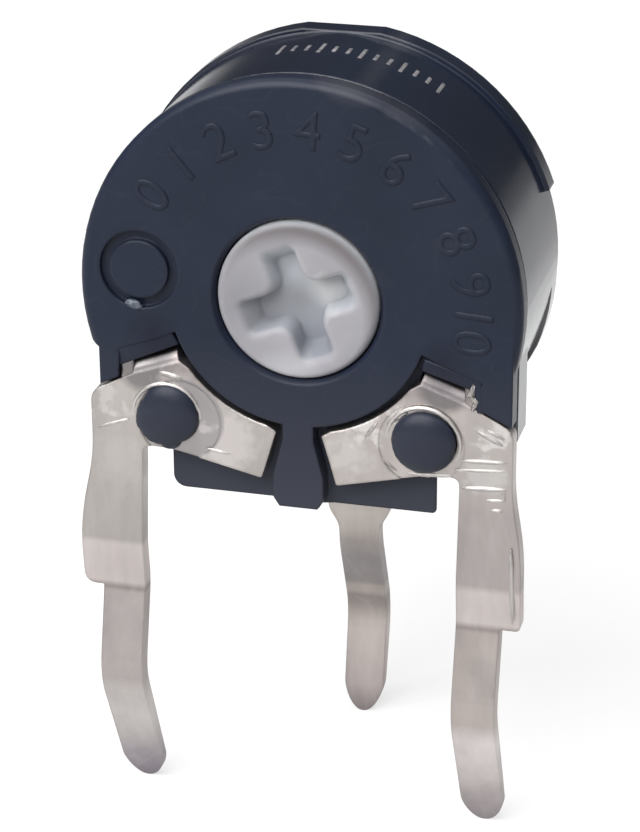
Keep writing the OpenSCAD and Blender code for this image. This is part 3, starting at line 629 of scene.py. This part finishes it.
def onAxisFrame(x, z, y, turn=0.0, lean=0.0):
    # a place on the face in millimetres across and up from the axis; its own Z points out of the face
    return (Matrix.Translation((x * mm, y, axisHeight + z * mm)) @ turnBy(90, "X")
            @ turnBy(turn, "Z") @ turnBy(lean, "X"))


def lyingOn(node, x, z, turn=0.0):
    # where a straight look from the front meets a solid: Z points out of it, Y up along it
    start = Vector((x * mm, plateFront - 30 * mm, axisHeight + z * mm))
    _, point, normal, _ = nodes[node].ray_cast(start, Vector((0, 1, 0)))
    out = normal.normalized()
    side = Vector((0, 0, 1)).cross(out).normalized()
    turned = Matrix((side, out.cross(side), out)).transposed().to_4x4()
    return Matrix.Translation(point) @ turned @ turnBy(turn, "Z")


def moveTo(piece, matrix):
    # the matrix goes into the mesh
    pickOnly(piece)
    piece.matrix_world = matrix
    bpy.ops.object.transform_apply(location=True, rotation=True, scale=True)
    return piece


def softBar(length, width, height, cuts=0, ragged=0.0, seed=0):
    # a low bar along X, half sunk, with rounded edges; it can be made ragged
    clearSelection()
    bpy.ops.mesh.primitive_cube_add(size=1)
    bar = bpy.context.active_object
    bar.scale = (length, width, 2 * height)
    bpy.ops.object.transform_apply(location=False, rotation=False, scale=True)
    startEdit()
    bpy.ops.mesh.bevel(offset=min(width, 2 * height) * 0.32, segments=2, affect="EDGES")
    if cuts:
        bpy.ops.mesh.select_all(action="SELECT")
        bpy.ops.mesh.subdivide(number_cuts=cuts)
    if ragged:
        bpy.ops.transform.vertex_random(offset=ragged, uniform=0.4, normal=0.3, seed=seed)
    endEdit()
    return bar


rotorSlot = {
    "rest": -21.0,             # how the slot stands at rest, in degrees about the axis
    "armLength": 4.1 * mm,
    "armWidth": 1.2 * mm,
    "depth": 0.85 * mm,
    "draft": (0.74, 0.74),     # share of the length and width that is left at the floor
    "inside": 0.46 * mm,       # rounding where the arms meet
    "ends": 0.24 * mm,
    "mouth": 0.19 * mm,
    "rim": 0.24 * mm,
    "headLength": 1.2 * mm,
    "low": 0.1 * mm,           # how far the slot's middle lies below the axis
    "crotch": 1.2 * mm,        # radius inside which the arms meet
    "reach": 2.15 * mm,        # radius inside which the mouth's edges lie
}
sharpFold = 1.0                # radians


def selectEdges(piece, wanted):
    # in edit mode: picks the edges for which wanted(first corner, second corner, fold angle) holds
    bpy.ops.mesh.select_all(action="DESELECT")
    bpy.ops.mesh.select_mode(type="EDGE")
    shape = bmesh.from_edit_mesh(piece.data)
    for edge in shape.edges:
        fold = edge.calc_face_angle(0.0)
        edge.select = wanted(edge.verts[0].co, edge.verts[1].co, fold)
    bmesh.update_edit_mesh(piece.data)


def cutWith(piece, other, operation):
    # boolean of two pieces; the second one is used up
    pickOnly(piece)
    step = piece.modifiers.new(operation.lower(), "BOOLEAN")
    step.operation = operation
    step.object = other
    step.solver = "EXACT"
    bpy.ops.object.modifier_apply(modifier=step.name)
    bpy.data.objects.remove(other)


def slotArm():
    # one arm of the cross, narrower and shorter towards its floor
    clearSelection()
    depth = rotorSlot["depth"] + 0.1 * mm
    bpy.ops.mesh.primitive_cube_add(size=1)
    arm = bpy.context.active_object
    arm.scale = (rotorSlot["armLength"], depth, rotorSlot["armWidth"])
    bpy.ops.object.transform_apply(location=False, rotation=False, scale=True)
    startEdit()
    selectEdges(arm, lambda a, b, fold: a.y > 0 and b.y > 0)
    bpy.ops.transform.resize(value=(rotorSlot["draft"][0], 1, rotorSlot["draft"][1]))
    endEdit()
    return moveTo(arm, Matrix.Translation((0, plateFront + rotorSlot["depth"] - depth / 2, 0)))


def slotCutter():
    # two crossed arms, with the upright edges rounded where they meet and at their ends
    cross = slotArm()
    cutWith(cross, moveTo(slotArm(), turnBy(90, "Y")), "UNION")
    upright = 0.8 * rotorSlot["depth"]
    crotch = rotorSlot["crotch"]
    startEdit()
    bpy.ops.mesh.dissolve_limited(angle_limit=math.radians(2))
    selectEdges(cross, lambda a, b, fold: abs(a.y - b.y) > upright and fold > sharpFold
                and math.hypot(a.x, a.z) < crotch)
    bpy.ops.mesh.bevel(offset=rotorSlot["inside"], segments=7, affect="EDGES", clamp_overlap=False)
    selectEdges(cross, lambda a, b, fold: abs(a.y - b.y) > upright and fold > sharpFold
                and math.hypot(a.x, a.z) > crotch)
    bpy.ops.mesh.bevel(offset=rotorSlot["ends"], segments=5, affect="EDGES", clamp_overlap=False)
    endEdit()
    return moveTo(cross, Matrix.Translation((0, 0, axisHeight - rotorSlot["low"]))
                  @ turnBy(rotorSlot["rest"], "Y"))


def buildSoftRotor():
    # the rotor's head is moulded softer than the solid: a crowned rim and a slot with worn, rounded corners
    length = rotorSlot["headLength"]
    clearSelection()
    bpy.ops.mesh.primitive_cylinder_add(vertices=144, radius=rotorRadius, depth=length)
    head = moveTo(bpy.context.active_object,
                  Matrix.Translation((0, plateFront + length / 2, axisHeight)) @ turnBy(90, "X"))
    startEdit()
    selectEdges(head, lambda a, b, fold: fold > sharpFold and max(a.y, b.y) < plateFront + 0.1 * mm)
    bpy.ops.mesh.bevel(offset=rotorSlot["rim"], segments=8, affect="EDGES", clamp_overlap=False)
    endEdit()
    cutWith(head, slotCutter(), "DIFFERENCE")
    startEdit()
    selectEdges(head, lambda a, b, fold: fold > sharpFold / 2 and max(a.y, b.y) < plateFront + 0.3 * mm
                and math.hypot(a.x, a.z - axisHeight) < rotorSlot["reach"])
    bpy.ops.mesh.bevel(offset=rotorSlot["mouth"], segments=4, affect="EDGES", clamp_overlap=False)
    endEdit()
    # behind the head the solid's own shape goes on
    rear = nodes["rotor"].copy()
    rear.data = rear.data.copy()
    rear.parent = None
    bpy.context.scene.collection.objects.link(rear)
    pickOnly(rear)
    startEdit()
    bpy.ops.mesh.remove_doubles(threshold=0.000001)
    bpy.ops.mesh.bisect(plane_co=(0, plateFront + length, axisHeight), plane_no=(0, 1, 0), use_fill=True,
                        clear_inner=True)
    endEdit()
    rotor = settle(joinAll([head, rear]), "softRotor", rotorNylon, "rotor", 32)
    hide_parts("rotor")


def softRidge(length, width, height, ragged=0.0, seed=0):
    # a long low swelling along X, half sunk
    clearSelection()
    bpy.ops.mesh.primitive_uv_sphere_add(segments=24, ring_count=16, radius=0.5)
    ridge = bpy.context.active_object
    ridge.scale = (length, width, 2 * height)
    bpy.ops.object.transform_apply(location=False, rotation=False, scale=True)
    startEdit()
    bpy.ops.transform.vertex_random(offset=ragged, uniform=0.6, normal=0.3, seed=seed)
    endEdit()
    return ridge


dialScale = {
    "firstAngle": -56.0,   # clockwise from the top
    "step": 15.0,
    "count": 11,
    "radius": 5.82 * mm,
    "size": 1.85 * mm,
    "rise": 0.022 * mm,
    "edge": 0.008 * mm,
}


def buildDialScale():
    parts = []
    for number in range(dialScale["count"]):
        angle = dialScale["firstAngle"] + number * dialScale["step"]
        bpy.ops.object.text_add()
        text = bpy.context.active_object
        text.data.body = str(number)
        text.data.size = dialScale["size"]
        text.data.align_x = "CENTER"
        text.data.align_y = "CENTER"
        text.data.extrude = dialScale["rise"]
        text.data.bevel_depth = dialScale["edge"]
        text.data.bevel_resolution = 1
        text.data.resolution_u = 4
        pickOnly(text)
        bpy.ops.object.convert(target="MESH")
        parts.append(moveTo(text, aroundAxis(angle, dialScale["radius"], plateFront, turnBy(90, "X"))))
    return settle(joinAll(parts), "dialNumerals", facePlastic, "housing", 25)


wallScale = {
    "firstAngle": -12.0,   # clockwise from the top
    "step": 3.6,
    "count": 13,
    "middle": 3.95 * mm,   # behind the dial face
    "longEvery": 3,
    "long": 1.0 * mm,
    "short": 0.6 * mm,
    "width": 0.13 * mm,
    "rise": 0.012 * mm,
}


def buildWallScale():
    # pale printed strokes across the top of the drum's wall
    parts = []
    for number in range(wallScale["count"]):
        length = wallScale["long"] if number % wallScale["longEvery"] == 0 else wallScale["short"]
        stroke = softBar(length, wallScale["width"], wallScale["rise"])
        angle = wallScale["firstAngle"] + number * wallScale["step"]
        matrix = aroundAxis(angle, drumRadius, plateFront + wallScale["middle"], turnBy(90, "Z"))
        parts.append(moveTo(stroke, matrix))
    return settle(joinAll(parts), "wallStrokes", palePrint, "housing", 25)


pegCollars = [
    # name, terminal, side, ring radius, middle across and up from the axis, lean, facing
    ("leftPegCollar", "terminal_left", leftBright, 1.17, (-4.62, -4.58), 4.5, 10),
    ("rightPegCollar", "terminal_right", rightBright, 1.25, (4.25, -4.60), 5.0, -18),
]


collarLook = {
    "thickness": 0.15 * mm,
    "ragged": 0.012 * mm,
    "beside": 1.45,        # millimetres from the middle to where the sheet's height is taken
    "sunk": 0.05 * mm,
}


def buildPegCollar(name, terminal, finish, radius, middle, lean, facing):
    # the sheet swells up beside the staked head: a ring that leans out of the sheet at the top
    clearSelection()
    bpy.ops.mesh.primitive_torus_add(major_radius=radius * mm, minor_radius=collarLook["thickness"] / 2,
                                     major_segments=72, minor_segments=12)
    ring = bpy.context.active_object
    startEdit()
    bpy.ops.transform.vertex_random(offset=collarLook["ragged"], uniform=0.5, normal=0.5, seed=3)
    endEdit()
    across, up = middle
    sheet = lyingOn(terminal, across + math.copysign(collarLook["beside"], -across), up)
    level = sheet.translation.y + collarLook["sunk"]
    moveTo(ring, onAxisFrame(across, up, level, facing, lean))
    return settle(ring, name, finish, "housing", 60)


rightMarks = [
    # from and to in millimetres across and up from the axis, width, height, raggedness
    ((5.55, -5.11), (7.10, -5.04), 0.16, 0.013, 0.6),
    ((5.30, -5.47), (7.10, -5.34), 0.12, 0.010, 0.6),
    ((5.55, -6.09), (7.12, -6.00), 0.18, 0.016, 0.5),
    ((6.38, -6.44), (7.05, -6.40), 0.13, 0.011, 0.5),
    ((6.99, -6.00), (7.03, -6.44), 0.12, 0.011, 0.5),
    ((6.56, -6.78), (7.00, -6.76), 0.15, 0.008, 0.5),
    ((3.70, -5.79), (5.30, -5.72), 0.16, 0.018, 0.5),
    ((6.05, -3.99), (6.95, -4.44), 0.20, 0.018, 0.8),
    ((6.40, -3.93), (7.00, -4.22), 0.14, 0.014, 0.8),
    ((3.72, -3.58), (3.02, -4.06), 0.20, 0.017, 0.8),
    ((2.70, -4.00), (2.28, -4.66), 0.16, 0.011, 0.8),
    ((7.33, -8.00), (7.46, -10.80), 0.17, 0.014, 0.4),
    ((2.62, -5.20), (3.38, -5.74), 0.12, 0.010, 0.6),
]
leftMarks = [
    ((-7.10, -5.26), (-5.90, -4.80), 0.12, 0.011, 0.6),
    ((-4.85, -3.00), (-4.00, -3.18), 0.22, 0.010, 0.8),
    ((-3.25, -5.62), (-2.40, -5.74), 0.12, 0.010, 0.6),
]


def buildPressMarks(name, terminal, finish, marks):
    # raised lines that the press and the staking tool leave on the sheet
    parts = []
    for number, (start, end, width, rise, ragged) in enumerate(marks):
        across, up = end[0] - start[0], end[1] - start[1]
        length = math.hypot(across, up)
        ridge = softRidge(length * mm, width * mm, rise * mm, ragged * rise * 0.5 * mm, number + 1)
        middle = ((start[0] + end[0]) / 2, (start[1] + end[1]) / 2)
        matrix = lyingOn(terminal, *middle, math.degrees(math.atan2(up, across)))
        parts.append(moveTo(ridge, matrix))
    return settle(joinAll(parts), name, finish, "housing", 60)


tabBurr = {
    # the jags, from and to, across and up from the axis in millimetres
    "jags": [((5.95, -2.36), (5.78, -2.84)), ((5.76, -2.80), (6.06, -2.95)), ((6.05, -2.92), (5.88, -3.26))],
    "width": 0.12 * mm,
    "height": 0.07 * mm,
    "ragged": 0.03 * mm,
}


def buildTabBurr():
    # the jagged edge that the blanking tool left on the right tab
    parts = []
    for number, ((x0, z0), (x1, z1)) in enumerate(tabBurr["jags"]):
        length = math.hypot(x1 - x0, z1 - z0) * mm
        burr = softBar(length, tabBurr["width"], tabBurr["height"], 3, tabBurr["ragged"], 5 + number)
        turn = math.degrees(math.atan2(z1 - z0, x1 - x0))
        matrix = onAxisFrame((x0 + x1) / 2, (z0 + z1) / 2, sheetFront + 0.01 * mm, turn)
        parts.append(moveTo(burr, matrix))
    return settle(joinAll(parts), "tabBurr", rightBright, "housing", 40)


stripHeight = 0.08 * mm
tabEdges = [
    # name, finish, slot, middle across and up from the axis in millimetres, length, width
    ("leftTabEdge", leftSheet, "left_terminal_metal", (-5.96, -3.05), 0.90, 0.44),
    ("rightTabEdge", rightSheet, "right_terminal_metal", (5.80, -2.90), 0.90, 0.36),
]


def buildTabEdge(name, finish, slotName, middle, length, width):
    # the strip of sheet that stands beside the tab's fold
    strip = softBar(length * mm, width * mm, stripHeight, 2, 0.012 * mm, 4)
    matrix = onAxisFrame(*middle, sheetFront + 1.5 * stripHeight, 90)
    return settle(moveTo(strip, matrix), name, finish, "housing", 40)


tabLips = [
    # middle across and up from the axis in millimetres, depth of its middle, length, width, turn, lean
    (-5.35, -2.15, 0.136, 2.42, 0.65, 24.5, 10.4),
    (5.202, -2.123, 0.133, 2.05, 0.50, -17.5, 13.9),
    (6.14, -2.80, 0.12, 1.10, 0.30, -84.0, 6.0),
]


def buildTabLips():
    # the plate's lip over the top of each tab, leaning in towards the sheet
    parts = []
    for across, up, depth, length, width, turn, lean in tabLips:
        lip = softBar(length * mm, width * mm, stripHeight)
        parts.append(moveTo(lip, onAxisFrame(across, up, plateFront + depth * mm, turn, lean)))
    return settle(joinAll(parts), "tabLips", facePlastic, "housing", 40)


gateNub = {
    "radius": 0.2 * mm,
    "stretch": (1.5, 0.75, 0.5),
    "middle": (-5.62, -0.60),   # across and up from the axis in millimetres
    "turn": -14,
    "ragged": 0.02 * mm,
}


def buildGateNub():
    # where the mould's gate was cut off, on the rim of the round mark
    clearSelection()
    bpy.ops.mesh.primitive_uv_sphere_add(segments=20, ring_count=12, radius=gateNub["radius"])
    nub = bpy.context.active_object
    startEdit()
    bpy.ops.transform.resize(value=gateNub["stretch"])
    bpy.ops.transform.vertex_random(offset=gateNub["ragged"], uniform=0.6, normal=0.4, seed=9)
    endEdit()
    matrix = onAxisFrame(*gateNub["middle"], plateFront + 0.02 * mm, gateNub["turn"])
    return settle(moveTo(nub, matrix), "gateNub", cutGateAndGlint, "housing", 60)


stakedHeads = [
    # across and up from the axis in millimetres, radius, height: the right head, the left head's three
    # swellings, and the left head's run-out
    (4.27, -4.60, 1.10, 0.39), (-4.53, -4.38, 0.96, 0.37), (-4.72, -4.69, 0.97, 0.37),
    (-4.43, -4.60, 0.94, 0.34),
    (-5.30, -4.86, 0.40, 0.20), (-5.02, -5.18, 0.42, 0.20), (-4.52, -5.34, 0.44, 0.20),
]


def buildStakedHeads():
    # the peg heads as the hot tool left them
    parts = []
    for number, (across, up, radius, height) in enumerate(stakedHeads):
        head = softRidge(2 * radius * mm, 2 * radius * mm, height * mm, 0.012 * mm, number)
        parts.append(moveTo(head, onAxisFrame(across, up, sheetFront)))
    return settle(joinAll(parts), "stakedHeads", facePlastic, "housing", 60)


clearSelection()
buildDialScale()
buildWallScale()
print("dial numerals and wall strokes")
for collar in pegCollars:
    buildPegCollar(*collar)
buildPressMarks("rightPressMarks", "terminal_right", rightBright, rightMarks)
buildPressMarks("leftPressMarks", "terminal_left", leftBright, leftMarks)
buildTabBurr()
for edge in tabEdges:
    buildTabEdge(*edge)
buildTabLips()
buildGateNub()
buildStakedHeads()
buildSoftRotor()
print("marks of the press and the mould")


viewpoint = {
    "turn": 14.9,        # degrees to the right of straight ahead
    "height": 23.5,      # degrees above level
    "roll": -0.3,
    "distance": 91.4 * mm,
    "lens": 121.15,
    "aim": Vector((1.1, -1.64, 7.69)) * mm,
}


def addCamera():
    camera = bpy.data.objects.new("viewCamera", bpy.data.cameras.new("viewCamera"))
    bpy.context.scene.collection.objects.link(camera)
    camera.data.lens = viewpoint["lens"]
    camera.data.clip_start = 0.001
    facing = (turnBy(viewpoint["turn"], "Z") @ turnBy(90 - viewpoint["height"], "X")
              @ turnBy(viewpoint["roll"], "Z"))
    camera.matrix_world = facing
    camera.location = viewpoint["aim"] + facing @ Vector((0, 0, viewpoint["distance"]))
    bpy.context.scene.camera = camera


floorLook = {
    "radius": 1.5,
    "tone": 0.42,                            # what lamplight falls on
    "glow": 0.6,                             # what the camera sees besides
    "glossEnd": (0.16, 0.32),                # gloss sees it out to here, in metres from the part
    "bright": Vector((12, 42, 0)) * mm,      # where gloss sees it brightest, close behind the part
    "brightReach": (10 * mm, 30 * mm),
    "brightLevel": (1.25, 0.58),             # inside and outside that reach
}


def addFloor():
    clearSelection()
    bpy.ops.mesh.primitive_circle_add(vertices=96, radius=floorLook["radius"], fill_type="NGON",
                                      location=(0, 0, legTip))
    floor = bpy.context.active_object
    floor.name = "studioFloor"
    bpy.ops.object.transform_apply(location=True, rotation=True, scale=True)
    finish, tree, shader = newFinish("floorPaper")
    tone = floorLook["tone"]
    shader.inputs["Base Color"].default_value = (tone, tone, tone, 1)
    shader.inputs["Roughness"].default_value = 0.9
    shader.inputs["Specular IOR Level"].default_value = 0.0
    path = put(tree, "ShaderNodeLightPath", -400, -300)
    where = put(tree, "ShaderNodeTexCoord", -900, -500)
    away = put(tree, "ShaderNodeVectorMath", -700, -500, operation="LENGTH")
    tree.links.new(where.outputs["Object"], away.inputs[0])
    near = spread(tree, away.outputs["Value"], *floorLook["glossEnd"], 1.0, 0.0, -500, -500)
    shiny = sums(tree, "MULTIPLY", path.outputs["Is Glossy Ray"], near, -300, -400)
    beside = put(tree, "ShaderNodeVectorMath", -700, -700, operation="DISTANCE")
    tree.links.new(where.outputs["Object"], beside.inputs[0])
    beside.inputs[1].default_value = floorLook["bright"]
    level = spread(tree, beside.outputs["Value"], *floorLook["brightReach"], *floorLook["brightLevel"],
                   -500, -700)
    shiny = sums(tree, "MULTIPLY", shiny, level, -150, -400)
    seen = sums(tree, "MAXIMUM", path.outputs["Is Camera Ray"], shiny, -200, -300)
    seen = sums(tree, "MAXIMUM", seen, path.outputs["Is Transmission Ray"], 0, -300)
    lit = sums(tree, "MULTIPLY", seen, floorLook["glow"], 150, -300)
    shader.inputs["Emission Color"].default_value = (1, 1, 1, 1)
    tree.links.new(lit, shader.inputs["Emission Strength"])
    floor.data.materials.append(finish)


roomLook = {
    "fill": 0.55,                   # the strength that lights dull surfaces
    "white": 1.0,                   # the strength that the camera and gloss see
    "horizon": (-0.10, 0.0),        # heights of the way looked between which gloss sees it go dusky
    "dusk": 0.06,
    "overhead": (0.5, 0.85),        # and between which it grows bright again
    "skylight": 1.5,
}


def addWorld():
    world = bpy.data.worlds.new("room")
    bpy.context.scene.world = world
    world.use_nodes = True
    tree = world.node_tree
    back = tree.nodes["Background"]
    path = put(tree, "ShaderNodeLightPath", -700, 0)
    seen = sums(tree, "MAXIMUM", path.outputs["Is Camera Ray"], path.outputs["Is Glossy Ray"], -500, 0)
    seen = sums(tree, "MAXIMUM", seen, path.outputs["Is Transmission Ray"], -350, 0)
    level = spread(tree, seen, 0, 1, roomLook["fill"], roomLook["white"], -200, 0)
    way = put(tree, "ShaderNodeTexCoord", -1100, -300)
    parts = put(tree, "ShaderNodeSeparateXYZ", -900, -300)
    tree.links.new(way.outputs["Generated"], parts.inputs["Vector"])
    low = spread(tree, parts.outputs["Z"], *roomLook["horizon"], 1.0, roomLook["dusk"], -700, -300)
    high = spread(tree, parts.outputs["Z"], *roomLook["overhead"], 0.0, roomLook["skylight"], -700, -500)
    mirrored = sums(tree, "ADD", low, high, -550, -400)
    share = put(tree, "ShaderNodeMix", -400, -300, data_type="FLOAT")
    tree.links.new(path.outputs["Is Glossy Ray"], share.inputs["Factor"])
    share.inputs[2].default_value = 1.0
    tree.links.new(mirrored, share.inputs[3])
    strength = sums(tree, "MULTIPLY", level, share.outputs[0], 0, -100)
    back.inputs["Color"].default_value = (1, 1, 1, 1)
    tree.links.new(strength, back.inputs["Strength"])


keySoftbox = {
    "from": Vector((-80, -165, 190)) * mm,
    "towards": Vector((0, 0, 8)) * mm,
    "width": 260 * mm,
    "height": 240 * mm,
    "watts": 1.05,
}


def addLamp():
    lamp = bpy.data.lights.new("keySoftbox", "AREA")
    lamp.shape = "RECTANGLE"
    lamp.size = keySoftbox["width"]
    lamp.size_y = keySoftbox["height"]
    lamp.energy = keySoftbox["watts"]
    holder = bpy.data.objects.new("keySoftbox", lamp)
    bpy.context.scene.collection.objects.link(holder)
    holder.location = keySoftbox["from"]
    way = keySoftbox["towards"] - keySoftbox["from"]
    holder.rotation_euler = way.to_track_quat("-Z", "Y").to_euler()


addCamera()
addFloor()
addWorld()
addLamp()
bpy.context.scene.view_settings.view_transform = "Standard"
print("stage set")
